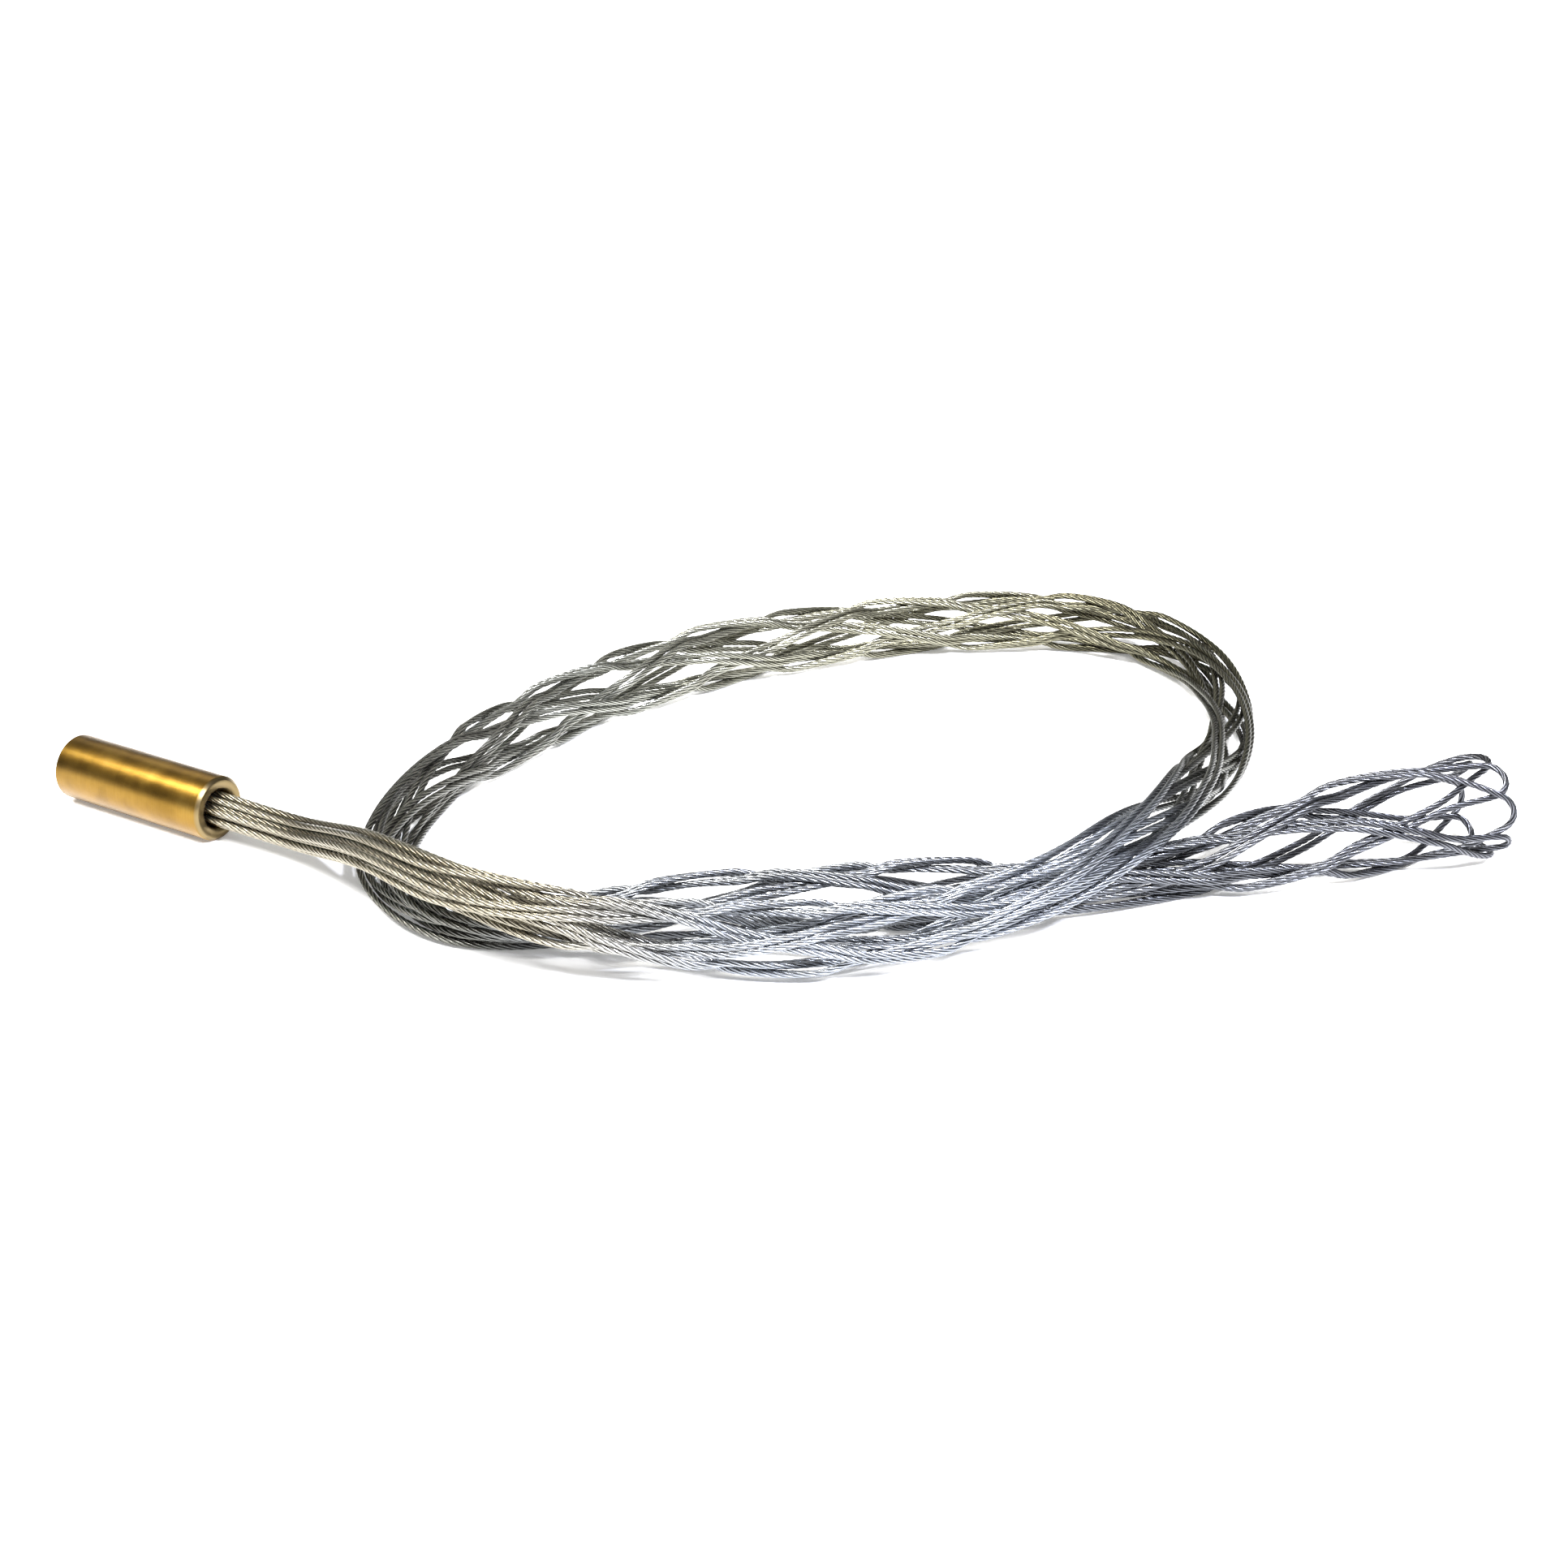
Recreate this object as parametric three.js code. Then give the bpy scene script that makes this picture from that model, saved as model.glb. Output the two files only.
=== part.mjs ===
import * as THREE from 'three';

// Cable pulling grip: a turned brass ferrule holds eight wire ropes that are woven into a tubular net.
// Millimetres, +Z up. The grip lies on a table in one loop, with its open mouth towards +X.

// Wire rope
const ropeD = 0.8;
const ropeSides = 5;
const ropeGap = 0.05;          // clear space between ropes that touch on the real grip
const crossingGap = 0.06;      // more of it where they cross

// Woven net
const ropeCount = 8;           // each rope is doubled back at the mouth, so it has two legs
const pairCount = ropeCount / 2;
const diamondSide = 13.82;     // rope length from one crossing to the next
const pairSpacing = 0.88;      // centre to centre of the two ropes that run side by side
const weaveStart = 38;         // where the neck bundle begins to open, from the ferrule's face
const firstRow = 0.25;         // in the neck the two hands lie a quarter row apart
const neckSteps = 5;
const weaveEase = 12;          // over this length the crossings reach their full pace, and the legs pair up
const mouthEase = 10;          // over this length the pairs spread again to an even mouth
const bightRadius = 2.2;       // of the round end of each loop at the mouth
const bightSteps = 4;
const rollAtFerrule = 15;      // degrees by which the net is turned about its own line
const rollAtMouth = 78;
const crossingSpan = 0.4;      // share of a row, on each side of a crossing, that a leg stays on one side
const samplesPerSpan = 28;     // of the route, between two of its points

// Brass ferrule
const ferruleD = 8;
const ferruleLength = 24;
const ferruleChamfer = 0.4;
const boreChamfer = 0.35;
const ropeBoreDepth = 13;
const threadD = 5;
const threadPitch = 0.8;
const threadTurns = 9;
const threadDepth = 0.43;
const ferruleSides = 28;

// Solder that holds the rope ends inside the ferrule
const solderWall = 0.14;
const solderFloor = 1.5;
const solderLength = 9;
const fitClearance = 0.03;

// Neck bundle: an inner ring of one hand's legs and an outer ring of the other's, lying in its gaps
const ropePitch = ropeD + ropeGap;
const evenAngle = Math.PI / ropeCount;
const innerRing = ropePitch / (2 * Math.sin(evenAngle));
const outerRing = innerRing * Math.cos(evenAngle)
  + Math.sqrt(ropePitch ** 2 - (innerRing * Math.sin(evenAngle)) ** 2);
const neckD = 2 * outerRing + ropeD;
const ropeBoreD = neckD + 2 * (solderWall + 2 * fitClearance);
const ropeEndDepth = ropeBoreDepth - solderFloor - 2 * fitClearance;
const weaveWave = (ropePitch + crossingGap) / 2;

// Below this wall radius the doubled ropes have no room to change sides between two crossings
const jammedRadius = (pairSpacing + ropePitch) * pairCount / (2 * Math.PI * crossingSpan);

// How far the outside of the tube lies beyond the middle of its woven wall
const wall = weaveWave + ropeD / 2;

// Route of the tube from the ferrule's face to the mouth, chosen by hand to follow the photo.
// Each point: x, y, height of the underside, outside width, outside height.
const neckLift = (ferruleD - neckD) / 2;
const route = [
  [-65.5, -13.9, neckLift, neckD, neckD],         // leaves the ferrule
  [-54.8, -20.9, neckLift, neckD, neckD],
  [-44.8, -33.9, 5.6, 5.0, 4.8],                  // over the left end of the loop
  [-34.8, -43.4, 5.8, 6.2, 5.3],
  [-22.3, -49.4, 4.2, 7.4, 6.4],                  // slides down in front of the last pass
  [-8.8, -49.9, 1.8, 8.6, 7.8],
  [5.2, -48.9, 0.4, 9.2, 8.4],                    // front of the loop
  [19.2, -45.9, 1.5, 8.8, 7.6],
  [31.2, -41.9, 4.3, 7.6, 6.4],
  [41.2, -33.1, 6.5, 7.1, 6.0],                   // over the last pass
  [49.2, -19.5, 5.3, 7.4, 6.1],
  [54.7, -5.4, 2.4, 7.6, 6.5],
  [58.7, 8.1, 1.1, 7.2, 6.6],                     // right end of the loop
  [60.2, 22.1, 0.3, 6.9, 6.7],
  [58.2, 35.6, 0.1, 7.1, 7.0],
  [50.2, 46.6, 0, 8.2, 7.8],
  [37.2, 50.1, 0, 9.1, 8.2],                      // back of the loop
  [23.2, 48.6, 0, 9.0, 8.2],
  [9.7, 44.6, 0, 9.2, 8.4],
  [-2.8, 38.1, 0, 9.6, 8.9],
  [-14.3, 30.1, 0, 9.6, 8.9],
  [-24.3, 20.1, 0, 9.3, 8.6],
  [-32.8, 9.1, 0, 9.0, 8.2],
  [-39.8, -2.9, 0, 8.4, 7.2],
  [-43.8, -15.9, 0, 7.3, 5.8],                    // left end of the loop, under the neck
  [-43.3, -29.4, 0, 6.9, 5.5],
  [-34.8, -40.4, 0, 7.0, 5.7],
  [-21.8, -42.4, 0, 7.4, 6.8],                    // last pass, behind the first one
  [-7.8, -40.9, 0, 8.4, 8.2],
  [6.2, -38.9, 0, 9.0, 8.5],
  [20.7, -36.4, 0, 9.0, 7.9],
  [34.7, -32.9, 0, 8.0, 6.0],                     // pressed flat where the first pass crosses it
  [48.7, -28.9, 0, 8.7, 6.9],
  [61.2, -25.4, 0, 11.2, 10.4],
  [74.2, -21.4, 0, 12.9, 12.3],                   // opens to the mouth
  [90.0, -16.3, 0, 13.4, 12.8],
];

const up = new THREE.Vector3(0, 0, 1);
const smooth = (from, length, s) => {
  const t = Math.min(Math.max((s - from) / length, 0), 1);
  return t * t * (3 - 2 * t);
};

// Samples of the route by length: place, sideways and upward directions, and the wall's half sizes
function sampleRoute(points, stepsPerSpan) {
  const spans = points.length - 1;
  const at = (k) => points[Math.min(Math.max(k, 0), spans)];
  const blend = (i, t, c) => {
    const [p0, p1, p2, p3] = [at(i - 1)[c], at(i)[c], at(i + 1)[c], at(i + 2)[c]];
    return p1 + 0.5 * t * (p2 - p0 + t * (2 * p0 - 5 * p1 + 4 * p2 - p3 + t * (3 * (p1 - p2) + p3 - p0)));
  };
  const samples = [];
  for (let k = 0; k <= spans * stepsPerSpan; k += 1) {
    const i = Math.min(Math.floor(k / stepsPerSpan), spans - 1);
    const [x, y, lift, width, height] = [0, 1, 2, 3, 4].map((c) => blend(i, k / stepsPerSpan - i, c));
    samples.push({
      s: 0,
      place: new THREE.Vector3(x, y, lift + height / 2),
      halfWidth: width / 2 - wall,
      halfHeight: height / 2 - wall,
    });
  }
  samples.forEach((sample, k) => {
    const before = samples[Math.max(k - 1, 0)];
    const after = samples[Math.min(k + 1, samples.length - 1)];
    const ahead = k === 0 ? samples[stepsPerSpan] : after;   // level where it leaves the ferrule
    const along = ahead.place.clone().sub(before.place).normalize();
    sample.along = along;
    sample.side = up.clone().cross(along).normalize();
    sample.rise = along.clone().cross(sample.side);
    if (k > 0) sample.s = before.s + sample.place.distanceTo(before.place);
  });
  return samples;
}
const path = sampleRoute(route, samplesPerSpan);
const pathLength = path[path.length - 1].s;

// Where the tube is at a length s from the ferrule's face; before the face it runs straight
function tubeAt(s) {
  if (s <= 0) {
    const face = path[0];
    return { ...face, place: face.place.clone().addScaledVector(face.along, s) };
  }
  let k = 1;
  while (k < path.length - 1 && path[k].s < s) k += 1;
  const [a, b] = [path[k - 1], path[k]];
  const t = (s - a.s) / (b.s - a.s);
  const along = a.along.clone().lerp(b.along, t).normalize();
  const side = up.clone().cross(along).normalize();
  return {
    place: a.place.clone().lerp(b.place, t),
    along,
    side,
    rise: along.clone().cross(side),
    halfWidth: THREE.MathUtils.lerp(a.halfWidth, b.halfWidth, t),
    halfHeight: THREE.MathUtils.lerp(a.halfHeight, b.halfHeight, t),
  };
}

// Length along the tube at which the net reaches each quarter of a crossing row.
// A row's rope length stays the same, so the net runs longer where the tube is thin.
function findRows() {
  const rows = [{ row: firstRow, s: weaveStart }];
  let row = firstRow;
  for (let k = 1; k < path.length; k += 1) {
    const { s, halfWidth, halfHeight } = path[k];
    if (s < weaveStart) continue;
    const radius = Math.sqrt((halfWidth ** 2 + halfHeight ** 2) / 2);
    const around = radius * Math.PI / pairCount;
    const pace = smooth(weaveStart, weaveEase, s) / Math.sqrt(diamondSide ** 2 - around ** 2);
    row += pace * (s - path[k - 1].s);
    rows.push({ row, s });
  }
  return rows;
}
const rows = findRows();
const lengthAtRow = (row) => {
  let k = 1;
  while (k < rows.length - 1 && rows[k].row < row) k += 1;
  const [a, b] = [rows[k - 1], rows[k]];
  return a.s + (b.s - a.s) * (row - a.row) / (b.row - a.row);
};

// The row where the two legs of a loop would meet at the mouth, half a row past a crossing of pairs.
// It is the one nearest to the route's end.
const mouthRow = Math.round(rows[rows.length - 1].row - 0.5) + 0.5;
const apex = lengthAtRow(mouthRow);

// The last row where pairs cross before they spread out to the mouth
const lastRow = mouthRow - 1.5;

// How far a right-hand leg lies outside the middle of the wall at each crossing; a left-hand one is opposite.
// The side changes from one crossing to the next, but not where the tube is too thin to leave a gap between.
const sideOfWall = [-weaveWave];
for (let crossing = 1; crossing <= lastRow; crossing += 1) {
  const tube = tubeAt(lengthAtRow(crossing - 0.5));
  const radius = Math.sqrt((tube.halfWidth ** 2 + tube.halfHeight ** 2) / 2);
  const previous = sideOfWall[crossing - 1];
  sideOfWall.push(radius < jammedRadius ? previous : -previous);
}

// Radius of an ellipse's bend at an angle
function bendRadius(halfWidth, halfHeight, angle) {
  const stretch = (halfWidth * Math.sin(angle)) ** 2 + (halfHeight * Math.cos(angle)) ** 2;
  return stretch ** 1.5 / (halfWidth * halfHeight);
}

// One point of a leg: hand is 1 for the right-hand legs and -1 for the left-hand ones.
// out is how far the leg lies outside the middle of the wall.
function wallPoint(s, row, hand, leg, out, turn = 0) {
  const tube = tubeAt(s);
  const { halfWidth, halfHeight } = tube;
  const radius = Math.sqrt((halfWidth ** 2 + halfHeight ** 2) / 2);
  const pair = Math.floor(leg / 2);
  const besides = leg % 2 === 0 ? -1 : 1;
  const roll = THREE.MathUtils.degToRad(THREE.MathUtils.lerp(rollAtFerrule, rollAtMouth, s / pathLength));

  // Even angles are turned into even distances along a pressed tube's outline
  const press = (halfWidth ** 2 - halfHeight ** 2) / (halfWidth ** 2 + halfHeight ** 2) / 4;
  const along = (evenly) => evenly + press * Math.sin(2 * evenly);

  // The two legs of a pair lie side by side, but evenly apart in the neck and at the mouth
  const pairAngle = 2 * Math.PI * pair / pairCount + hand * Math.PI * row / pairCount + roll + turn;
  const bend = bendRadius(halfWidth, halfHeight, along(pairAngle));
  const paired = Math.min(evenAngle, pairSpacing / (2 * radius * (1 + out / bend)));
  const apart = 1 - smooth(weaveStart, weaveEase, s) + smooth(apex - 2 * bightRadius - mouthEase, mouthEase, s);
  const spread = THREE.MathUtils.lerp(paired, evenAngle, apart);
  const angle = along(pairAngle + besides * spread);
  const normal = new THREE.Vector2(Math.cos(angle) / halfWidth, Math.sin(angle) / halfHeight).normalize();
  return tube.place.clone()
    .addScaledVector(tube.side, halfWidth * Math.cos(angle) + out * normal.x)
    .addScaledVector(tube.rise, halfHeight * Math.sin(angle) + out * normal.y);
}

// One leg from its cut end in the ferrule to the start of its loop at the mouth.
// In the neck one hand's legs lie inside the other's, and in the net each leg changes side between crossings.
function legPoints(hand, leg) {
  const points = [];
  for (let k = 0; k <= neckSteps; k += 1) {
    const s = THREE.MathUtils.lerp(-ropeEndDepth, weaveStart, k / neckSteps);
    const open = smooth(weaveStart / 2, weaveStart / 2, s);
    const out = hand > 0 ? -THREE.MathUtils.lerp(outerRing - innerRing - weaveWave, weaveWave, open) : weaveWave;
    points.push(wallPoint(s, firstRow, hand, leg, out));
  }
  for (let crossing = 1; crossing <= lastRow; crossing += 1) {
    for (const row of [crossing - crossingSpan, crossing + crossingSpan]) {
      points.push(wallPoint(lengthAtRow(row), row, hand, leg, hand * sideOfWall[crossing]));
    }
  }
  return points;
}

// A point of the round loop that joins two legs at the mouth: share is 1 where the leg begins and 0 at the tip
function bightPoint(hand, leg, share) {
  const tube = tubeAt(apex);
  const radius = Math.sqrt((tube.halfWidth ** 2 + tube.halfHeight ** 2) / 2);
  const slant = Math.atan2(radius * Math.PI / pairCount, apex - lengthAtRow(mouthRow - 1));
  const swing = (Math.PI / 2 - slant) * share;
  const s = apex - bightRadius / Math.sin(slant) + bightRadius * Math.cos(swing);
  const turn = -hand * bightRadius * Math.sin(swing) / radius;
  return wallPoint(s, mouthRow, hand, leg, hand * sideOfWall[lastRow] * share, turn);
}

// A curve through given points, for a tube with one ring of corners at each point
class PointCurve extends THREE.Curve {
  constructor(points) {
    super();
    this.points = points;
  }

  getPoint(t, target = new THREE.Vector3()) {
    const spans = this.points.length - 1;
    const i = Math.min(Math.floor(t * spans), spans - 1);
    return target.lerpVectors(this.points[i], this.points[i + 1], t * spans - i);
  }

  getUtoTmapping(u) {
    return u;
  }
}

function polygonShape(radius, sides) {
  const corners = Array.from({ length: sides }, (_, i) => {
    const angle = 2 * Math.PI * i / sides;
    return new THREE.Vector2(radius * Math.cos(angle), radius * Math.sin(angle));
  });
  return new THREE.Shape(corners);
}

// One wire rope: a right-hand leg, its loop at the mouth, and the left-hand leg that it returns as
function wireRope(leg) {
  const besides = leg % 2;
  const returnPair = (Math.floor(leg / 2) + Math.floor(mouthRow) + besides) % pairCount;
  const returnLeg = 2 * returnPair + 1 - besides;
  const shares = Array.from({ length: bightSteps }, (_, k) => 1 - k / bightSteps);
  const points = [
    ...legPoints(1, leg),
    ...shares.map((share) => bightPoint(1, leg, share)),
    bightPoint(1, leg, 0),
    ...shares.map((share) => bightPoint(-1, returnLeg, share)).reverse(),
    ...legPoints(-1, returnLeg).reverse(),
  ];
  return new THREE.ExtrudeGeometry(polygonShape(ropeD / 2, ropeSides), {
    steps: points.length - 1,
    bevelEnabled: false,
    extrudePath: new PointCurve(points),
  });
}

// A closed surface of rings along X, each ring a radius or a function of the angle
function ringSurface(rings, sides) {
  const positions = [];
  const index = [];
  rings.forEach(({ x, radius }, i) => {
    for (let j = 0; j < sides; j += 1) {
      const angle = 2 * Math.PI * j / sides;
      const r = typeof radius === 'function' ? radius(angle) : radius;
      positions.push(x, r * Math.cos(angle), r * Math.sin(angle));
      const nextRing = (i + 1) % rings.length;
      const [a, b] = [i * sides + j, i * sides + (j + 1) % sides];
      const [c, d] = [nextRing * sides + j, nextRing * sides + (j + 1) % sides];
      index.push(a, c, b, b, c, d);
    }
  });
  const geometry = new THREE.BufferGeometry();
  geometry.setAttribute('position', new THREE.Float32BufferAttribute(positions, 3));
  geometry.setIndex(index);
  geometry.computeVertexNormals();
  return geometry;
}

// Turned ferrule with its face on the net's side at x = 0: a plain bore for the ropes from that face,
// and a female thread from the other end
function ferruleShape() {
  const radius = ferruleD / 2;
  const tapRadius = threadD / 2 - threadDepth;
  const threadFrom = -ferruleLength + threadDepth;
  const ringsPerTurn = 4;
  const threadRings = Array.from({ length: threadTurns * ringsPerTurn + 1 }, (_, k) => {
    const turns = k / ringsPerTurn;
    const fade = Math.min(1, turns, threadTurns - turns);
    const groove = (angle) => {
      const phase = ((turns - angle / (2 * Math.PI)) % 1 + 1) % 1;
      return 1 - Math.abs(2 * phase - 1);
    };
    return {
      x: threadFrom + turns * threadPitch,
      radius: (angle) => tapRadius + threadDepth * fade * groove(angle),
    };
  });
  return ringSurface([
    { x: 0, radius: radius - ferruleChamfer },
    { x: -ferruleChamfer, radius },
    { x: -ferruleLength + ferruleChamfer, radius },
    { x: -ferruleLength, radius: radius - ferruleChamfer },
    { x: -ferruleLength, radius: tapRadius + threadDepth },
    ...threadRings,
    { x: -ropeBoreDepth, radius: tapRadius },
    { x: -ropeBoreDepth, radius: ropeBoreD / 2 },
    { x: -boreChamfer, radius: ropeBoreD / 2 },
    { x: 0, radius: ropeBoreD / 2 + boreChamfer },
  ], ferruleSides);
}

// Solder around and behind the rope ends, a cup with its open side towards the net
function solderShape() {
  const outside = ropeBoreD / 2 - fitClearance;
  const inside = neckD / 2 + fitClearance;
  const back = -ropeBoreDepth + fitClearance;
  const profile = [
    [0, back],
    [outside, back],
    [outside, back + solderLength],
    [inside, back + solderLength],
    [inside, back + solderFloor],
    [0, back + solderFloor],
  ].map(([r, x]) => new THREE.Vector2(r, x));
  return new THREE.LatheGeometry(profile, ferruleSides).rotateZ(-Math.PI / 2);
}

const brass = new THREE.MeshStandardMaterial({ color: 0xc08a3a, roughness: 0.3, metalness: 1 });
const galvanisedSteel = new THREE.MeshStandardMaterial({ color: 0xa9acac, roughness: 0.4, metalness: 1 });
const solder = new THREE.MeshStandardMaterial({ color: 0x9a9c9e, roughness: 0.5, metalness: 1 });

const grip = new THREE.Group();

function addMesh(name, geometry, material, parent) {
  const mesh = new THREE.Mesh(geometry, material);
  mesh.name = name;
  parent.add(mesh);
}

// The ferrule lies with its axis level, in line with the start of the route
const ferrule = new THREE.Group();
ferrule.position.copy(path[0].place);
ferrule.rotation.z = Math.atan2(path[0].along.y, path[0].along.x);
addMesh('ferrule', ferruleShape(), brass, ferrule);
addMesh('solder_plug', solderShape(), solder, ferrule);
grip.add(ferrule);

for (let leg = 0; leg < ropeCount; leg += 1) {
  addMesh(`wire_rope_${leg + 1}`, wireRope(leg), galvanisedSteel, grip);
}

export default grip;
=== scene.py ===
"""Looks for the cable pulling grip: stranded wire ropes and a turned brass ferrule around the CAD part."""
import math

import bpy
import numpy as np
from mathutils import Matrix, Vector


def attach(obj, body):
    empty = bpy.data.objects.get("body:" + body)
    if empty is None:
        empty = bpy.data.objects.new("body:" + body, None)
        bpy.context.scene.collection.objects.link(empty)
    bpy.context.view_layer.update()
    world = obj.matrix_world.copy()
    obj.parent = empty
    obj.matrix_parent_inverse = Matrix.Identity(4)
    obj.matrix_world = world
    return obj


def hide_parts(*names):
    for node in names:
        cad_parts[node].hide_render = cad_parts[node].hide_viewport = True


MM = 0.001

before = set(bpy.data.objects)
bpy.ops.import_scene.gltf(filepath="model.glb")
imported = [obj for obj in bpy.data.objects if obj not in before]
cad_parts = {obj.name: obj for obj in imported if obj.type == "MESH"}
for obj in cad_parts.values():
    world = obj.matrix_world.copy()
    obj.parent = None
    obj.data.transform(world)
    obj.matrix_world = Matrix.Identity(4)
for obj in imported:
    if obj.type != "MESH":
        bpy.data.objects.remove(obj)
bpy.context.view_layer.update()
scene = bpy.context.scene


def new_object(name, data):
    thing = bpy.data.objects.new(name, data)
    scene.collection.objects.link(thing)
    return thing


# Camera at the photograph's viewing angle.
# Its place and clipping are in metres, its pitch in degrees, its lens and sensor in millimetres.
CAMERA_PLACE = (0.0022, -0.3196, 0.1434)
CAMERA_PITCH = 24.0
CAMERA_LENS = 64.29
SENSOR_WIDTH = 36.0
CLIP_START = 0.01
CLIP_END = 60.0

camera = new_object("camera", bpy.data.cameras.new("camera"))
camera.data.sensor_width = SENSOR_WIDTH
camera.data.lens = CAMERA_LENS
camera.data.clip_start = CLIP_START
camera.data.clip_end = CLIP_END
camera.location = CAMERA_PLACE
camera.rotation_euler = (math.radians(90.0 - CAMERA_PITCH), 0.0, 0.0)
scene.camera = camera

# Sizes of the wire rope and of the weave, the same as in the CAD source.
# Lengths are in millimetres, rolls in degrees, and FIRST_ROW and CROSSING_SPAN in rows of crossings.
ROPE_D = 0.8
ROPE_GAP = 0.05
CROSSING_GAP = 0.06
ROPE_COUNT = 8
PAIR_COUNT = ROPE_COUNT // 2
DIAMOND_SIDE = 13.82
PAIR_SPACING = 0.88
WEAVE_START = 38.0
FIRST_ROW = 0.25
WEAVE_EASE = 12.0
MOUTH_EASE = 10.0
BIGHT_RADIUS = 2.2
ROLL_AT_FERRULE = 15.0
ROLL_AT_MOUTH = 78.0
CROSSING_SPAN = 0.4

# Sizes of the ferrule, the same as in the CAD source
FERRULE_D = 8.0
FERRULE_LENGTH = 24.0
FERRULE_CHAMFER = 0.4
BORE_CHAMFER = 0.35
ROPE_BORE_DEPTH = 13.0
THREAD_D = 5.0
THREAD_PITCH = 0.8
THREAD_TURNS = 9
THREAD_DEPTH = 0.43
SOLDER_WALL = 0.14
SOLDER_FLOOR = 1.5
FIT_CLEARANCE = 0.03

# In the neck the legs lie in two rings of eight, nested in each other
ROPE_PITCH = ROPE_D + ROPE_GAP
EVEN_ANGLE = math.pi / ROPE_COUNT
INNER_RING = ROPE_PITCH / (2 * math.sin(EVEN_ANGLE))
OUTER_RING = INNER_RING * math.cos(EVEN_ANGLE) + math.sqrt(
    ROPE_PITCH**2 - (INNER_RING * math.sin(EVEN_ANGLE)) ** 2
)
NECK_D = 2 * OUTER_RING + ROPE_D
NECK_LIFT = (FERRULE_D - NECK_D) / 2
ROPE_BORE_D = NECK_D + 2 * (SOLDER_WALL + 2 * FIT_CLEARANCE)
ROPE_END_DEPTH = ROPE_BORE_DEPTH - SOLDER_FLOOR - 2 * FIT_CLEARANCE

# In the net a leg lies this far inside or outside the middle of the wall where pairs cross
WEAVE_WAVE = (ROPE_PITCH + CROSSING_GAP) / 2
WALL = WEAVE_WAVE + ROPE_D / 2

# Where the tube is thinner than this, the pairs have no room to change sides between crossings
JAMMED_RADIUS = (PAIR_SPACING + ROPE_PITCH) * PAIR_COUNT / (2 * math.pi * CROSSING_SPAN)

# Route of the tube, as in the CAD source: x, y, height of the underside, outside width, outside height
ROUTE = np.array(
    [
        (-65.5, -13.9, NECK_LIFT, NECK_D, NECK_D),
        (-54.8, -20.9, NECK_LIFT, NECK_D, NECK_D),
        (-44.8, -33.9, 5.6, 5.0, 4.8),
        (-34.8, -43.4, 5.8, 6.2, 5.3),
        (-22.3, -49.4, 4.2, 7.4, 6.4),
        (-8.8, -49.9, 1.8, 8.6, 7.8),
        (5.2, -48.9, 0.4, 9.2, 8.4),
        (19.2, -45.9, 1.5, 8.8, 7.6),
        (31.2, -41.9, 4.3, 7.6, 6.4),
        (41.2, -33.1, 6.5, 7.1, 6.0),
        (49.2, -19.5, 5.3, 7.4, 6.1),
        (54.7, -5.4, 2.4, 7.6, 6.5),
        (58.7, 8.1, 1.1, 7.2, 6.6),
        (60.2, 22.1, 0.3, 6.9, 6.7),
        (58.2, 35.6, 0.1, 7.1, 7.0),
        (50.2, 46.6, 0, 8.2, 7.8),
        (37.2, 50.1, 0, 9.1, 8.2),
        (23.2, 48.6, 0, 9.0, 8.2),
        (9.7, 44.6, 0, 9.2, 8.4),
        (-2.8, 38.1, 0, 9.6, 8.9),
        (-14.3, 30.1, 0, 9.6, 8.9),
        (-24.3, 20.1, 0, 9.3, 8.6),
        (-32.8, 9.1, 0, 9.0, 8.2),
        (-39.8, -2.9, 0, 8.4, 7.2),
        (-43.8, -15.9, 0, 7.3, 5.8),
        (-43.3, -29.4, 0, 6.9, 5.5),
        (-34.8, -40.4, 0, 7.0, 5.7),
        (-21.8, -42.4, 0, 7.4, 6.8),
        (-7.8, -40.9, 0, 8.4, 8.2),
        (6.2, -38.9, 0, 9.0, 8.5),
        (20.7, -36.4, 0, 9.0, 7.9),
        (34.7, -32.9, 0, 8.0, 6.0),
        (48.7, -28.9, 0, 8.7, 6.9),
        (61.2, -25.4, 0, 11.2, 10.4),
        (74.2, -21.4, 0, 12.9, 12.3),
        (90.0, -16.3, 0, 13.4, 12.8),
    ],
    float,
)

# Samples of the smooth curve from each point of the route to the next one
SAMPLES_PER_SPAN = 28


def smooth(start, length, s):
    """A smooth change from 0 to 1 that begins at start."""
    t = np.clip((s - start) / length, 0, 1)
    return t * t * (3 - 2 * t)


def unit(v):
    return v / np.linalg.norm(v, axis=-1, keepdims=True)


def lengths_along(line):
    return np.concatenate([[0], np.cumsum(np.linalg.norm(np.diff(line, axis=0), axis=1))])


def sample_route():
    """The route as a smooth curve: lengths, places, directions and the wall's half sizes at its samples."""
    spans = len(ROUTE) - 1
    k = np.arange(spans * SAMPLES_PER_SPAN + 1)
    i = np.minimum(k // SAMPLES_PER_SPAN, spans - 1)
    t = (k / SAMPLES_PER_SPAN - i)[:, None]
    p0, p1, p2, p3 = (ROUTE[np.clip(i + j, 0, spans)] for j in (-1, 0, 1, 2))
    q = p1 + 0.5 * t * (p2 - p0 + t * (2 * p0 - 5 * p1 + 4 * p2 - p3 + t * (3 * (p1 - p2) + p3 - p0)))
    place = np.stack([q[:, 0], q[:, 1], q[:, 2] + q[:, 4] / 2], 1)
    along = np.empty_like(place)
    along[1:-1] = place[2:] - place[:-2]
    along[-1] = place[-1] - place[-2]
    along[0] = place[SAMPLES_PER_SPAN] - place[0]
    return lengths_along(place), place, unit(along), q[:, 3] / 2 - WALL, q[:, 4] / 2 - WALL


PATH_S, PATH_PLACE, PATH_ALONG, PATH_HALF_WIDTH, PATH_HALF_HEIGHT = sample_route()
PATH_LENGTH = PATH_S[-1]


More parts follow.
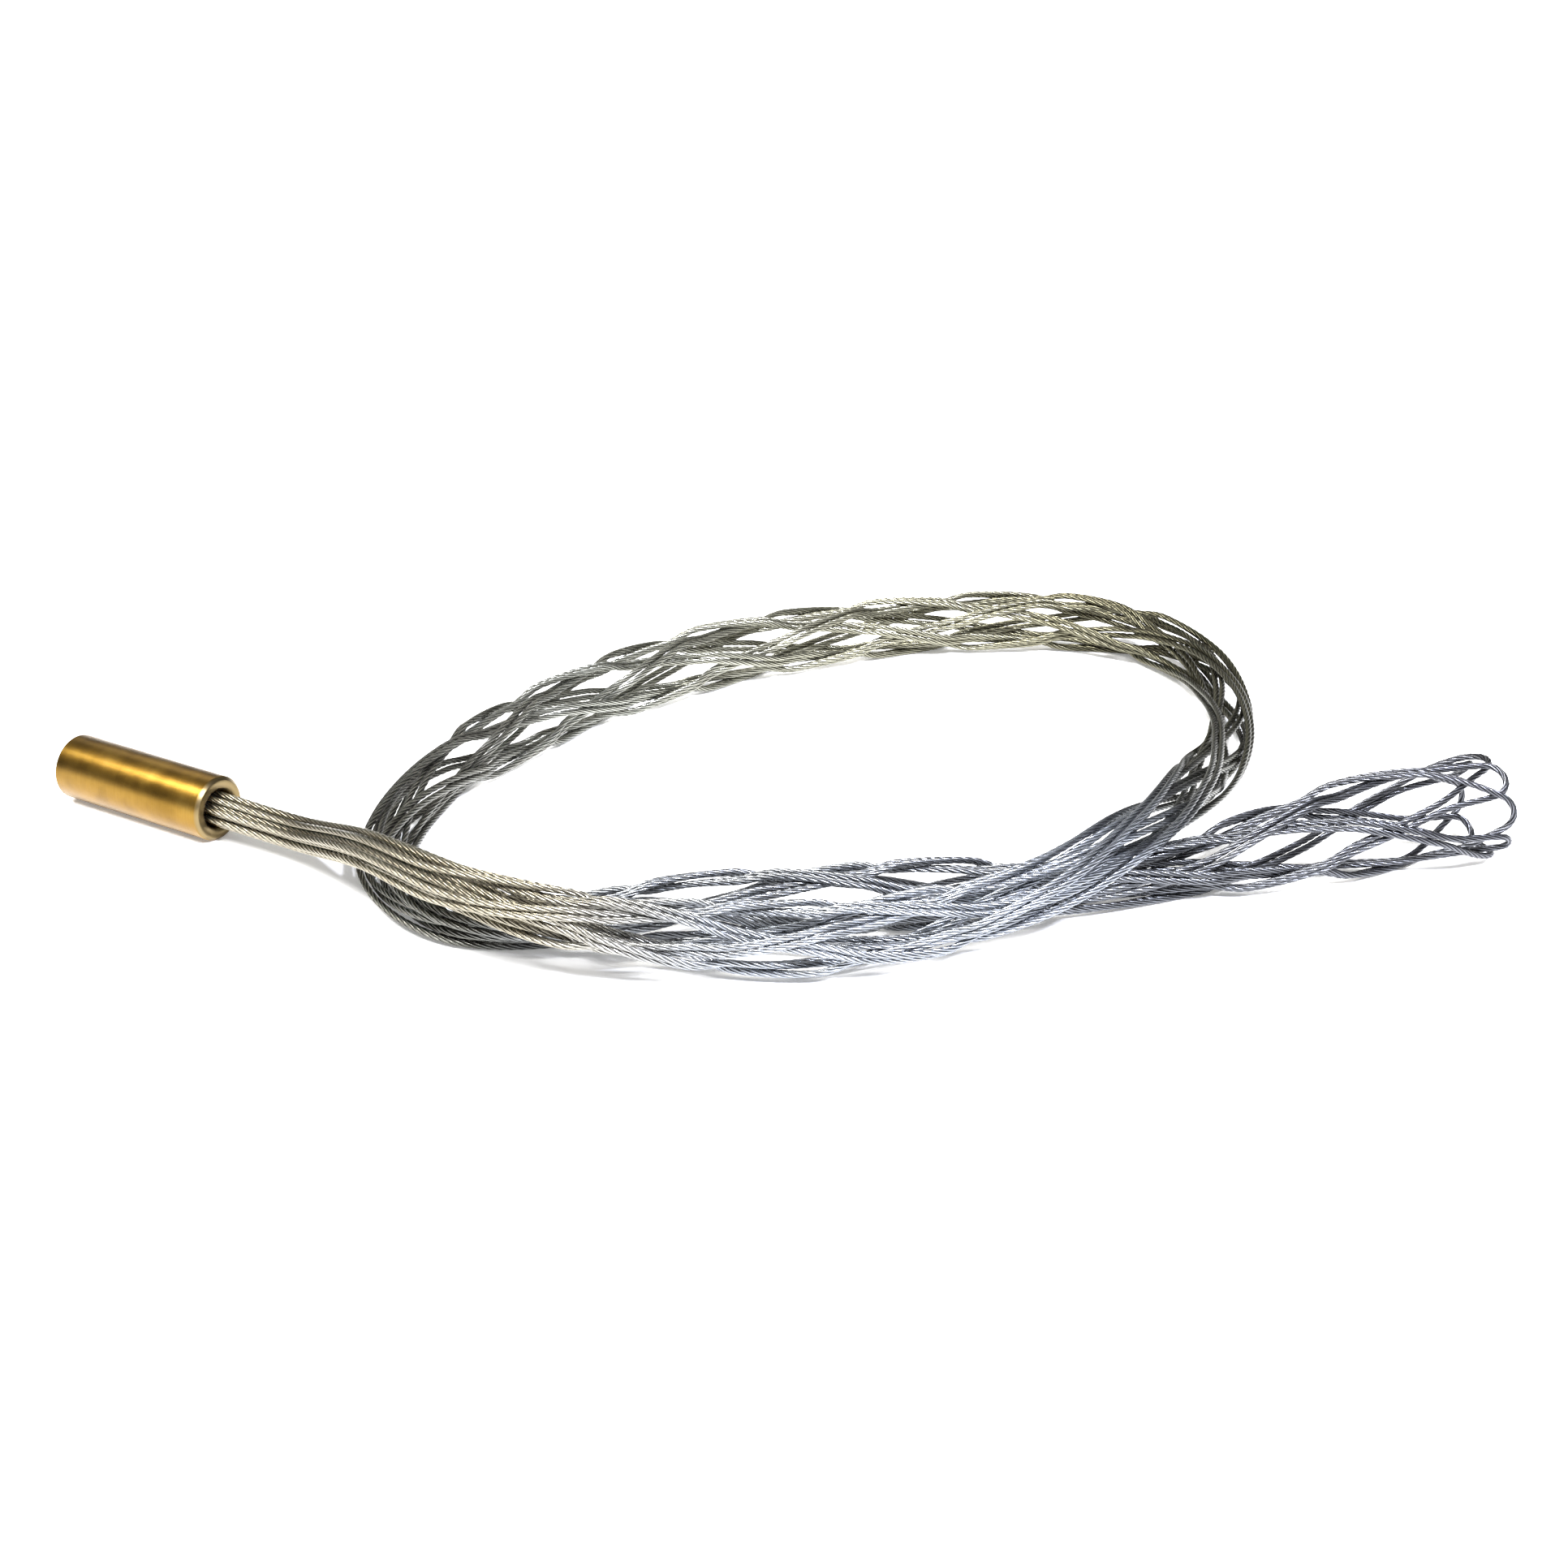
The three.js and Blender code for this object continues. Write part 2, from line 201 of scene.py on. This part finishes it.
def mean_radius(half_width, half_height):
    return np.sqrt((half_width**2 + half_height**2) / 2)


def tube_at(s):
    """Place, sideways and upward directions, and the wall's half sizes, at lengths s from the ferrule."""
    at = np.clip(s, 0, PATH_LENGTH)
    place = np.stack([np.interp(at, PATH_S, PATH_PLACE[:, c]) for c in range(3)], 1)
    along = unit(np.stack([np.interp(at, PATH_S, PATH_ALONG[:, c]) for c in range(3)], 1))
    place = place + np.minimum(s, 0)[:, None] * PATH_ALONG[0]
    side = unit(np.cross([0, 0, 1.0], along))
    rise = np.cross(along, side)
    half_width = np.interp(at, PATH_S, PATH_HALF_WIDTH)
    half_height = np.interp(at, PATH_S, PATH_HALF_HEIGHT)
    return place, side, rise, half_width, half_height


def find_rows():
    """Rows of crossings counted along the net: they are closer together where the tube is fatter."""
    lengths = [WEAVE_START]
    rows = [FIRST_ROW]
    for k in range(1, len(PATH_S)):
        if PATH_S[k] < WEAVE_START:
            continue
        around = mean_radius(PATH_HALF_WIDTH[k], PATH_HALF_HEIGHT[k]) * math.pi / PAIR_COUNT
        pace = smooth(WEAVE_START, WEAVE_EASE, PATH_S[k]) / math.sqrt(DIAMOND_SIDE**2 - around**2)
        rows.append(rows[-1] + pace * (PATH_S[k] - PATH_S[k - 1]))
        lengths.append(PATH_S[k])
    return np.array(lengths), np.array(rows)


ROW_LENGTHS, ROWS = find_rows()

# The tips of the loops at the mouth lie half way between two rows, a row and a half after the last crossing
MOUTH_ROW = round(ROWS[-1] - 0.5) + 0.5
LAST_ROW = int(MOUTH_ROW - 1.5)


def length_at_row(row):
    return float(np.interp(row, ROWS, ROW_LENGTHS))


APEX = length_at_row(MOUTH_ROW)


def find_sides():
    """Side of the wall that a leg takes at each crossing: it changes each time, except where jammed."""
    sides = [-1.0]
    for crossing in range(1, LAST_ROW + 1):
        _, _, _, half_width, half_height = tube_at(np.array([length_at_row(crossing - 0.5)]))
        jammed = mean_radius(half_width, half_height)[0] < JAMMED_RADIUS
        sides.append(sides[-1] if jammed else -sides[-1])
    return np.array(sides) * WEAVE_WAVE


SIDES = find_sides()


def bend_radius(half_width, half_height, angle):
    """Radius of an ellipse's bend at an angle."""
    stretch = (half_width * np.sin(angle)) ** 2 + (half_height * np.cos(angle)) ** 2
    return stretch**1.5 / (half_width * half_height)


def wall_points(s, row, hand, leg, out, turn=0.0):
    """Places of a leg at lengths s and at its rows, a distance out from the middle of the tube's wall."""
    place, side, rise, half_width, half_height = tube_at(s)
    radius = mean_radius(half_width, half_height)
    pair = leg // 2
    besides = -1 if leg % 2 == 0 else 1
    roll = np.radians(ROLL_AT_FERRULE + (ROLL_AT_MOUTH - ROLL_AT_FERRULE) * s / PATH_LENGTH)
    pair_angle = 2 * math.pi * pair / PAIR_COUNT + hand * math.pi * row / PAIR_COUNT + roll + turn

    # Even angles are turned into even distances along a pressed tube's outline
    press = (half_width**2 - half_height**2) / (half_width**2 + half_height**2) / 4
    bend = bend_radius(half_width, half_height, pair_angle + press * np.sin(2 * pair_angle))

    # The two legs of a pair lie side by side, but evenly apart in the neck and at the mouth
    paired = np.minimum(EVEN_ANGLE, PAIR_SPACING / (2 * radius * (1 + out / bend)))
    in_neck = 1 - smooth(WEAVE_START, WEAVE_EASE, s)
    at_mouth = smooth(APEX - 2 * BIGHT_RADIUS - MOUTH_EASE, MOUTH_EASE, s)
    spread = paired + (EVEN_ANGLE - paired) * (in_neck + at_mouth)
    evenly = pair_angle + besides * spread
    angle = evenly + press * np.sin(2 * evenly)
    normal = unit(np.stack([np.cos(angle) / half_width, np.sin(angle) / half_height], 1))
    sideways = half_width * np.cos(angle) + out * normal[:, 0]
    upward = half_height * np.sin(angle) + out * normal[:, 1]
    return place + sideways[:, None] * side + upward[:, None] * rise


# How much of a row, on each side of half way between crossings, a rope takes to change sides
CHANGE_SPAN = 0.17


def side_of_wall(row):
    """Side of the wall at any row: steady near crossings, with a smooth change half way between them."""
    crossing = np.clip(np.floor(row).astype(int), 0, LAST_ROW - 1)
    t = smooth(0.5 - CHANGE_SPAN, 2 * CHANGE_SPAN, row - crossing)
    return SIDES[crossing] + (SIDES[crossing + 1] - SIDES[crossing]) * t


def bight_slant():
    """Angle between a leg and the net's line where its loop begins, and the tube's radius at the mouth."""
    _, _, _, half_width, half_height = tube_at(np.array([APEX]))
    radius = mean_radius(half_width, half_height)[0]
    return math.atan2(radius * math.pi / PAIR_COUNT, APEX - length_at_row(MOUTH_ROW - 1)), radius


SLANT, MOUTH_RADIUS = bight_slant()
BIGHT_START = APEX - BIGHT_RADIUS * math.cos(SLANT) ** 2 / math.sin(SLANT)
BIGHT_POINTS = 14
LEG_STEP = 0.3


def leg_line(hand, leg):
    """Centre line of one leg, from its cut end in the ferrule to the start of its loop at the mouth."""
    s = np.arange(-ROPE_END_DEPTH, BIGHT_START, LEG_STEP)
    row = np.interp(s, ROW_LENGTHS, ROWS)

    # In the neck one hand's legs lie in the inner ring, and they move out to the wall as the net opens
    opened = smooth(WEAVE_START / 2, WEAVE_START / 2, s)
    if hand > 0:
        ring = OUTER_RING - INNER_RING - WEAVE_WAVE
        neck = -(ring + (WEAVE_WAVE - ring) * opened)
    else:
        neck = np.full_like(s, WEAVE_WAVE)
    out = np.where(s < WEAVE_START, neck, hand * side_of_wall(row))
    return wall_points(s, row, hand, leg, out), s


def bight_line(hand, leg):
    """Half of the round loop at the mouth, from the end of a leg to the tip."""
    share = np.linspace(1, 0, BIGHT_POINTS)
    swing = (math.pi / 2 - SLANT) * share
    s = APEX - BIGHT_RADIUS / math.sin(SLANT) + BIGHT_RADIUS * np.cos(swing)
    turn = -hand * BIGHT_RADIUS * np.sin(swing) / MOUTH_RADIUS
    return wall_points(s, MOUTH_ROW, hand, leg, hand * SIDES[LAST_ROW] * share, turn), s


def rope_line(leg):
    """Centre line of a whole rope, and the length along the net at each of its points."""
    besides = leg % 2
    return_pair = (leg // 2 + math.floor(MOUTH_ROW) + besides) % PAIR_COUNT
    return_leg = 2 * return_pair + 1 - besides
    out_leg, out_s = leg_line(1, leg)
    out_bight, out_bight_s = bight_line(1, leg)
    back_leg, back_s = leg_line(-1, return_leg)
    back_bight, back_bight_s = bight_line(-1, return_leg)
    line = np.concatenate([out_leg, out_bight[:-1], back_bight[::-1], back_leg[::-1]])
    s = np.concatenate([out_s, out_bight_s[:-1], back_bight_s[::-1], back_s[::-1]])
    return line, s


# Stranded wire rope: six round strands, each a third of the rope across, laid round a core.
# The lay is the length of one turn, and the step is the distance between rings of the mesh.
STRANDS = 6
POINTS_PER_STRAND = 5
STRAND_RADIUS = ROPE_D / 6
STRAND_CIRCLE = ROPE_D / 3
LAY_LENGTH = 7.4
ROPE_STEP = 0.6

# A line's corners are eased by this many passes of a weighted mean over neighbouring points
EASING_PASSES = 3
EASING_WEIGHTS = np.array([1, 4, 6, 4, 1]) / 16
EASING_REACH = len(EASING_WEIGHTS) // 2


def resample(line, values, step):
    """A line at even steps with its corners eased, its values there, and the length at each step."""
    eased = line.copy()
    for _ in range(EASING_PASSES):
        padded = np.pad(eased, ((EASING_REACH, EASING_REACH), (0, 0)), "edge")
        eased = sum(w * padded[i : i + len(line)] for i, w in enumerate(EASING_WEIGHTS))
        eased[0] = line[0]
        eased[-1] = line[-1]
    at = lengths_along(eased)
    count = int(round(at[-1] / step))
    even = np.linspace(0, at[-1], count + 1)
    points = np.stack([np.interp(even, at, eased[:, c]) for c in range(3)], 1)
    return points, np.interp(even, at, values), even


def level_frames(points):
    """Two directions across the line at each point, which never twist about it."""
    along = unit(np.gradient(points, axis=0))
    across = [unit(np.cross(along[0], [0, 0, 1.0]))]
    for k in range(1, len(points)):
        across.append(unit(across[-1] - along[k] * np.dot(across[-1], along[k])))
    across = np.array(across)
    return across, np.cross(along, across)


def strand_outline():
    """Angle and radius of the points of the rope's section, and how near each is to a strand's crest."""
    k = np.arange(STRANDS * POINTS_PER_STRAND)
    angle = k * 2 * math.pi / len(k)
    within = ((k % POINTS_PER_STRAND) / POINTS_PER_STRAND - 0.5) * 2 * math.pi / STRANDS
    bulge = np.sqrt(np.maximum(STRAND_RADIUS**2 - (STRAND_CIRCLE * np.sin(within)) ** 2, 0))
    radius = STRAND_CIRCLE * np.cos(within) + bulge
    return angle, radius, (radius - radius.min()) / (radius.max() - radius.min())


def grid_mesh(name, rings, vertex_values, wrap=False):
    """A smooth mesh of rings of vertices, each joined to the next one, with named values at its vertices.

    The last ring is joined to the first one with wrap, and otherwise both ends are closed by a face.
    """
    count, sides, _ = rings.shape
    i = np.arange(count if wrap else count - 1)[:, None]
    j = np.arange(sides)[None, :]
    after = (i + 1) % count
    beside = (j + 1) % sides
    corners = (i * sides + j, i * sides + beside, after * sides + beside, after * sides + j)
    faces = np.stack(np.broadcast_arrays(*corners), -1).reshape(-1, 4).tolist()
    if not wrap:
        faces.append(list(range(sides))[::-1])
        faces.append(list(range((count - 1) * sides, count * sides)))
    mesh = bpy.data.meshes.new(name)
    mesh.from_pydata((rings.reshape(-1, 3) * MM).tolist(), [], faces)
    mesh.polygons.foreach_set("use_smooth", [True] * len(mesh.polygons))
    for key, values in vertex_values.items():
        attribute = mesh.attributes.new(key, "FLOAT", "POINT")
        attribute.data.foreach_set("value", np.ascontiguousarray(values, np.float32).ravel())
    mesh.validate()
    mesh.update()
    return new_object(name, mesh)


def stranded_rope(name, leg):
    line, s = rope_line(leg)
    points, net_s, even = resample(line, s, ROPE_STEP)
    across, over = level_frames(points)
    angle, radius, crest = strand_outline()

    # Each rope starts its lay at another angle, so that neighbours don't look alike
    turned = angle[None, :] + 2 * math.pi * even[:, None] / LAY_LENGTH + leg
    rings = (
        points[:, None, :]
        + (radius * np.cos(turned))[..., None] * across[:, None, :]
        + (radius * np.sin(turned))[..., None] * over[:, None, :]
    )
    values = {
        "crest": np.broadcast_to(crest[None, :], turned.shape),
        "net_along": np.broadcast_to((net_s / PATH_LENGTH)[:, None], turned.shape),
    }
    return grid_mesh(name, rings, values)


WHITE = (1.0, 1.0, 1.0)


def greys(*stops):
    """Stops of a ramp from pairs of a position and a number."""
    return [(position, (value,) * 3) for position, value in stops]


def node_material(name, metallic=1.0):
    material = bpy.data.materials.new(name)
    material.use_nodes = True
    tree = material.node_tree
    shader = tree.nodes["Principled BSDF"]
    shader.inputs["Metallic"].default_value = metallic
    return material, tree, shader


def add_node(tree, kind, **settings):
    """A node with its settings, where a name that starts with in_ is an input."""
    node = tree.nodes.new(kind)
    for key, value in settings.items():
        if key.startswith("in_"):
            node.inputs[key[3:].replace("_", " ")].default_value = value
        else:
            setattr(node, key, value)
    return node


def attribute(tree, name):
    return add_node(tree, "ShaderNodeAttribute", attribute_name=name).outputs["Fac"]


def ramp(tree, value, stops):
    """The colour for a value from 0 to 1, from stops of a position and a colour."""
    node = tree.nodes.new("ShaderNodeValToRGB")
    elements = node.color_ramp.elements
    while len(elements) < len(stops):
        elements.new(0.5)
    for element, (position, color) in zip(elements, stops):
        element.position = position
        element.color = (*color, 1.0)
    tree.links.new(value, node.inputs[0])
    return node.outputs[0]


def noise(tree, scale, detail, roughness=0.5):
    """Noise through the object's own space, with its scale per metre."""
    place = tree.nodes.new("ShaderNodeTexCoord")
    node = add_node(tree, "ShaderNodeTexNoise", in_Scale=scale, in_Detail=detail, in_Roughness=roughness)
    tree.links.new(place.outputs["Object"], node.inputs["Vector"])
    return node.outputs["Fac"]


def bump(tree, shader, height, strength, distance):
    node = add_node(tree, "ShaderNodeBump", in_Strength=strength, in_Distance=distance)
    tree.links.new(height, node.inputs["Height"])
    tree.links.new(node.outputs[0], shader.inputs["Normal"])


def mix_color(tree, blend, factor, a, b):
    """A colour mix whose inputs are numbers, colours or sockets."""
    node = add_node(tree, "ShaderNodeMix", data_type="RGBA", blend_type=blend)
    for socket, value in zip((node.inputs[0], node.inputs[6], node.inputs[7]), (factor, a, b)):
        if isinstance(value, bpy.types.NodeSocket):
            tree.links.new(value, socket)
        elif isinstance(value, (int, float)):
            socket.default_value = value
        else:
            socket.default_value = (*value, 1.0)
    return node.outputs[2]


# Zinc's grey along the net, from the ferrule to the mouth, tinted and darkened by painted reflections and
# painted shade: warm at the neck, bluer along the front, dull and brownish round the loop's right end,
# faintly yellow along the back, dull again at its left end, bluer where the tail lies under the front
# stretch, and dull at the mouth
ZINC_AND_PAINTED_REFLECTIONS = [
    (0.0, (0.52, 0.48, 0.38)),
    (0.11, (0.52, 0.48, 0.38)),
    (0.15, (0.50, 0.53, 0.58)),
    (0.25, (0.50, 0.54, 0.62)),
    (0.29, (0.24, 0.245, 0.23)),
    (0.33, (0.155, 0.155, 0.12)),
    (0.40, (0.15, 0.145, 0.10)),
    (0.45, (0.29, 0.275, 0.19)),
    (0.51, (0.52, 0.51, 0.40)),
    (0.60, (0.52, 0.53, 0.48)),
    (0.65, (0.34, 0.34, 0.31)),
    (0.69, (0.22, 0.22, 0.195)),
    (0.745, (0.21, 0.21, 0.19)),
    (0.775, (0.37, 0.39, 0.42)),
    (0.85, (0.40, 0.42, 0.46)),
    (0.91, (0.22, 0.23, 0.255)),
    (1.0, (0.17, 0.175, 0.20)),
]

# Duller patches of a few millimetres
PATCH_SCALE = 260.0
PATCH_SHADE = [(0.3, (0.72, 0.71, 0.69)), (0.7, WHITE)]

# Painted shade, darkest in the grooves between the strands and gone at their crests; roughness from the
# rough grooves to the strands' worn crests
PAINTED_GROOVE_SHADE = [(0.0, (0.07, 0.065, 0.06)), (0.7, (0.45, 0.45, 0.44)), (1.0, WHITE)]
GROOVE_ROUGHNESS = greys((0.0, 0.62), (0.6, 0.34), (1.0, 0.26))

# The fine wires of a strand, as bumps, with their height in metres
WIRE_SCALE = 2600.0
WIRE_STRENGTH = 0.25
WIRE_HEIGHT = 0.00003


def steel_material():
    material, tree, shader = node_material("zinc_coated_steel")
    # The zinc's grey along the net, with painted reflections and painted shade in it
    along = ramp(tree, attribute(tree, "net_along"), ZINC_AND_PAINTED_REFLECTIONS)
    patches = ramp(tree, noise(tree, PATCH_SCALE, detail=4.0, roughness=0.6), PATCH_SHADE)
    crest = attribute(tree, "crest")
    color = mix_color(tree, "MULTIPLY", 1.0, along, patches)
    # Painted shade in the grooves between the strands
    color = mix_color(tree, "MULTIPLY", 1.0, color, ramp(tree, crest, PAINTED_GROOVE_SHADE))
    tree.links.new(color, shader.inputs["Base Color"])
    tree.links.new(ramp(tree, crest, GROOVE_ROUGHNESS), shader.inputs["Roughness"])
    bump(tree, shader, noise(tree, WIRE_SCALE, detail=2.0), WIRE_STRENGTH, WIRE_HEIGHT)
    return material


# Blotches of brass a few millimetres across, from deeper to paler
BLOTCH_SCALE = 260.0
BRASS_TONES = [(0.3, (0.18, 0.102, 0.017)), (0.55, (0.25, 0.145, 0.026)), (0.8, (0.32, 0.20, 0.043))]
BRASS_ROUGHNESS = greys((0.3, 0.28), (0.75, 0.37))

# Fine rings round the axis, left by the turning: their scale is per millimetre and their height in metres
RING_SCALE = 9.0
RING_DETAIL = 5.0
RING_ROUGHNESS = 0.7
RING_SHADE = [(0.3, (0.82, 0.80, 0.76)), (0.7, WHITE)]
RING_STRENGTH = 0.35
RING_HEIGHT = 0.00004

# The end face on the net's side is greyer by a share, which grows from 0 between two places along the axis
END_FACE_COLOR = (0.20, 0.175, 0.11)
END_FACE_SHARE = 0.6
END_FACE_FROM = -0.5
END_FACE_TO = -0.2


def brass_material():
    material, tree, shader = node_material("turned_brass")
    along = attribute(tree, "axis_along")
    rings = add_node(tree, "ShaderNodeTexNoise", noise_dimensions="1D")
    rings.inputs["Scale"].default_value = RING_SCALE
    rings.inputs["Detail"].default_value = RING_DETAIL
    rings.inputs["Roughness"].default_value = RING_ROUGHNESS
    tree.links.new(along, rings.inputs["W"])
    blotches = noise(tree, BLOTCH_SCALE, detail=3.0)
    base = ramp(tree, blotches, BRASS_TONES)
    ring_shade = ramp(tree, rings.outputs["Fac"], RING_SHADE)
    color = mix_color(tree, "MULTIPLY", 1.0, base, ring_shade)
    end = add_node(tree, "ShaderNodeMapRange", in_From_Min=END_FACE_FROM, in_From_Max=END_FACE_TO)
    end.inputs["To Min"].default_value = 0.0
    end.inputs["To Max"].default_value = END_FACE_SHARE
    tree.links.new(along, end.inputs["Value"])
    color = mix_color(tree, "MIX", end.outputs["Result"], color, END_FACE_COLOR)
    tree.links.new(color, shader.inputs["Base Color"])
    tree.links.new(ramp(tree, blotches, BRASS_ROUGHNESS), shader.inputs["Roughness"])
    bump(tree, shader, rings.outputs["Fac"], RING_STRENGTH, RING_HEIGHT)
    return material


# Dull grey solder with a fine grain
SOLDER_SCALE = 900.0
SOLDER_TONES = [(0.3, (0.10, 0.10, 0.10)), (0.7, (0.24, 0.24, 0.25))]
SOLDER_ROUGHNESS = 0.55
SOLDER_STRENGTH = 0.4
SOLDER_HEIGHT = 0.0001


def solder_material():
    material, tree, shader = node_material("soft_solder")
    grain = noise(tree, SOLDER_SCALE, detail=4.0)
    tree.links.new(ramp(tree, grain, SOLDER_TONES), shader.inputs["Base Color"])
    shader.inputs["Roughness"].default_value = SOLDER_ROUGHNESS
    bump(tree, shader, grain, SOLDER_STRENGTH, SOLDER_HEIGHT)
    return material


steel = steel_material()
for leg in range(ROPE_COUNT):
    rope = stranded_rope(f"stranded_rope_{leg + 1}", leg)
    rope.data.materials.append(steel)
    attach(rope, "root")
    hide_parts(f"wire_rope_{leg + 1}")

# Ferrule: the CAD profile with smooth sides, small rounded edges and a cut thread.
# Shading is split where faces meet at more than the sharp angle, in degrees.
FERRULE_SIDES = 120
RINGS_PER_TURN = 12
EDGE_REACH = 0.06
EDGE_STEPS = 3
SHARP_ANGLE = 50.0


def rounded_corner(before, here, after):
    """Points of the small curve that stands for a corner of the profile."""
    before, here, after = (np.array(corner) for corner in (before, here, after))
    start = here + EDGE_REACH * unit(before - here)
    end = here + EDGE_REACH * unit(after - here)
    t = np.linspace(0, 1, EDGE_STEPS + 1)[:, None]
    return start * (1 - t) ** 2 + 2 * here * t * (1 - t) + end * t**2


def ferrule_rings(angle):
    """Rings of the closed profile: the place along the axis, and the radius at each angle."""
    radius = FERRULE_D / 2
    bore = ROPE_BORE_D / 2
    tap_radius = THREAD_D / 2 - THREAD_DEPTH
    outside = [
        (0.0, bore + BORE_CHAMFER),
        (0.0, radius - FERRULE_CHAMFER),
        (-FERRULE_CHAMFER, radius),
        (-FERRULE_LENGTH + FERRULE_CHAMFER, radius),
        (-FERRULE_LENGTH, radius - FERRULE_CHAMFER),
        (-FERRULE_LENGTH, THREAD_D / 2),
    ]
    inside = [
        (-ROPE_BORE_DEPTH, tap_radius),
        (-ROPE_BORE_DEPTH, bore),
        (-BORE_CHAMFER, bore),
        (0.0, bore + BORE_CHAMFER),
    ]
    rings = []
    for corners in zip(outside, outside[1:], outside[2:]):
        rings.extend(rounded_corner(*corners))
    rings.append(outside[-1])

    # The thread's groove runs round at its pitch, and fades in and out over its first and last turn
    for k in range(THREAD_TURNS * RINGS_PER_TURN + 1):
        turns = k / RINGS_PER_TURN
        fade = min(1.0, turns, THREAD_TURNS - turns)
        phase = (turns - angle / (2 * math.pi)) % 1
        groove = 1 - np.abs(2 * phase - 1)
        x = -FERRULE_LENGTH + THREAD_DEPTH + turns * THREAD_PITCH
        rings.append((x, tap_radius + THREAD_DEPTH * fade * groove))
    return rings + inside


def make_ferrule():
    angle = 2 * math.pi * np.arange(FERRULE_SIDES) / FERRULE_SIDES
    along = PATH_ALONG[0]
    up = np.array([0, 0, 1.0])
    around = np.cos(angle)[:, None] * np.cross(up, along) + np.sin(angle)[:, None] * up
    rings = [(x, np.broadcast_to(r, angle.shape)) for x, r in ferrule_rings(angle)[::-1]]
    places = np.array([PATH_PLACE[0] + x * along + r[:, None] * around for x, r in rings])
    axis_along = np.array([np.full(FERRULE_SIDES, x) for x, _ in rings])
    thing = grid_mesh("brass_ferrule", places, {"axis_along": axis_along}, wrap=True)
    thing.data.materials.append(brass_material())
    split = thing.modifiers.new("sharp_edges", "EDGE_SPLIT")
    split.split_angle = math.radians(SHARP_ANGLE)
    return thing


ferrule = make_ferrule()
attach(ferrule, "root")
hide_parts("ferrule")

solder_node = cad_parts["solder_plug"]
solder_node.data.materials.clear()
solder_node.data.materials.append(solder_material())

# Floor: plain white, with a faint glow of its own, so that it comes out as white as in the photograph.
# It reaches so far that its edge is lost in the white horizon.
FLOOR_HALF = 15.0
FLOOR_COLOR = (0.94, 0.94, 0.94, 1.0)
FLOOR_ROUGHNESS = 0.9
FLOOR_GLOW = 0.25


def make_floor():
    mesh = bpy.data.meshes.new("floor")
    corners = [(x * FLOOR_HALF, y * FLOOR_HALF, 0) for x, y in ((-1, -1), (1, -1), (1, 1), (-1, 1))]
    mesh.from_pydata(corners, [], [(0, 1, 2, 3)])
    floor = new_object("floor", mesh)
    material, _, shader = node_material("pale_floor", metallic=0.0)
    shader.inputs["Base Color"].default_value = FLOOR_COLOR
    shader.inputs["Roughness"].default_value = FLOOR_ROUGHNESS
    shader.inputs["Specular IOR Level"].default_value = 0.0
    shader.inputs["Emission Color"].default_value = (*WHITE, 1.0)
    shader.inputs["Emission Strength"].default_value = FLOOR_GLOW
    floor.data.materials.append(material)


# The world from the horizon to overhead: a white rim, and darker above it for contrast in the metals
WORLD_SHADES = [(0.05, WHITE), (0.10, (0.12,) * 3), (0.75, (0.20,) * 3), (1.0, (0.42, 0.42, 0.44))]


def make_world():
    world = bpy.data.worlds.new("studio")
    world.use_nodes = True
    tree = world.node_tree
    place = tree.nodes.new("ShaderNodeTexCoord")
    split = tree.nodes.new("ShaderNodeSeparateXYZ")
    tree.links.new(place.outputs["Generated"], split.inputs[0])
    background = tree.nodes["Background"]
    tree.links.new(ramp(tree, split.outputs["Z"], WORLD_SHADES), background.inputs["Color"])
    background.inputs["Strength"].default_value = 1.0
    scene.world = world


def soft_sun(name, direction, strength, spread, color):
    """A sun that shines from a direction, as wide as its spread in degrees."""
    data = bpy.data.lights.new(name, "SUN")
    data.energy = strength
    data.angle = math.radians(spread)
    data.color = color
    light = new_object(name, data)
    light.rotation_euler = Vector(direction).to_track_quat("Z", "Y").to_euler()


def area_light(name, place, target, size, power, color):
    """A lamp at a place in metres that points at a target, with its width and height in metres."""
    data = bpy.data.lights.new(name, "AREA")
    data.shape = "RECTANGLE"
    data.size, data.size_y = size
    data.energy = power
    data.color = color
    light = new_object(name, data)
    light.location = place
    light.rotation_euler = (Vector(target) - Vector(place)).to_track_quat("-Z", "Y").to_euler()


make_floor()
make_world()
soft_sun("key", direction=(-0.25, -0.35, 0.75), strength=5.0, spread=24.0, color=WHITE)
area_light(
    "glint",
    place=(0.35, -0.55, 0.60),
    target=(0.02, -0.03, 0.0),
    size=(0.08, 0.08),
    power=13.0,
    color=(0.88, 0.90, 1.0),
)
area_light(
    "back",
    place=(0.0, 0.65, 0.55),
    target=(0.0, 0.0, 0.0),
    size=(0.8, 0.25),
    power=1.4,
    color=(1.0, 0.98, 0.90),
)
area_light(
    "left",
    place=(-0.60, -0.02, 0.70),
    target=(-0.06, 0.0, 0.0),
    size=(0.20, 0.20),
    power=5.0,
    color=(1.0, 0.97, 0.90),
)

scene.view_settings.view_transform = "Standard"
